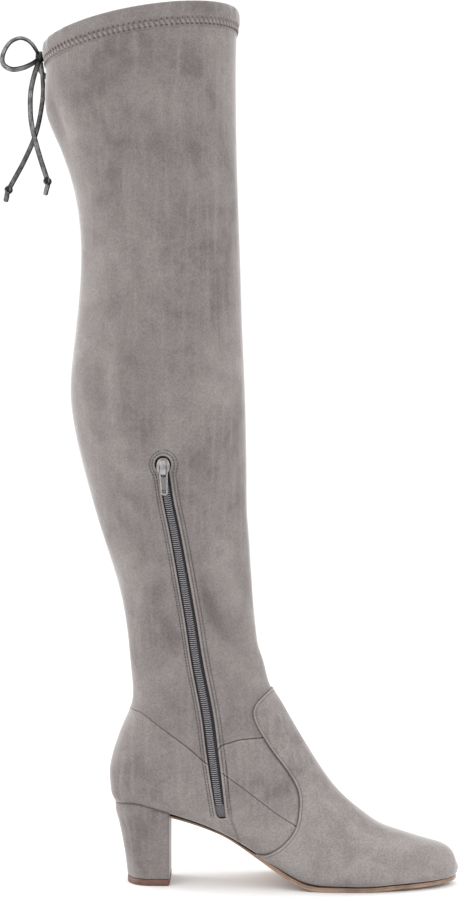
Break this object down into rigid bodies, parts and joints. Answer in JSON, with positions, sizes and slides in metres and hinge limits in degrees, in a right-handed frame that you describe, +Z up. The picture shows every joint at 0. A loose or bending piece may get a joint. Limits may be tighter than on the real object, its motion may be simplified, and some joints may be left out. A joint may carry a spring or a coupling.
{
  "type": "thigh high boot",
  "caption": "Left thigh high boot with a lasted foot, leaning hollow leg, covered block heel, thin sole, inner side zip and a drawstring bow at the collar.",
  "frame": {"origin": "middle of the heel's tread, on the floor", "axes": "+Z up along the leg, +X to the toe, -Y to the inner side with the zip"},
  "size_m": [0.3327, 0.122, 0.6343],
  "materials": {
    "suede": "warm grey suede, matte nap",
    "vamp_suede": "warm grey suede, matte nap",
    "heel_suede": "warm grey suede over a hard block",
    "sole_leather": "tan sole leather, satin edge",
    "lift_rubber": "brown, matte",
    "lining": "plain lining, matte",
    "tape": "dark woven tape",
    "coil": "grey nylon coil",
    "metal": "light grey metal, satin",
    "cord_leather": "grey leather cord, slight sheen"
  },
  "bodies": {
    "boot": {"outsole": "sole_leather", "heel": "heel_suede", "top_lift": "lift_rubber", "insole": "lining", "upper": "suede", "vamp": "vamp_suede", "shaft": "suede", "casing": "suede", "zip_tape": "tape", "zip_coil": "coil", "zip_slider": "metal", "bow_knot": "cord_leather", "bow_loop_near": "cord_leather", "bow_loop_far": "cord_leather", "bow_tail_near": "cord_leather", "bow_tail_far": "cord_leather", "tail_knot_near": "cord_leather", "tail_knot_far": "cord_leather", "bow_tip_near": "cord_leather", "bow_tip_far": "cord_leather"},
    "pull_tab": {"zip_pull": "metal"}
  },
  "joints": [
    {"name": "pull_swing", "type": "hinge", "parent": "boot", "child": "pull_tab", "pos_m": [0.01279, -0.05257, 0.30258], "axis": [-1, 0, 0], "range_deg": [0, 150]}
  ]
}
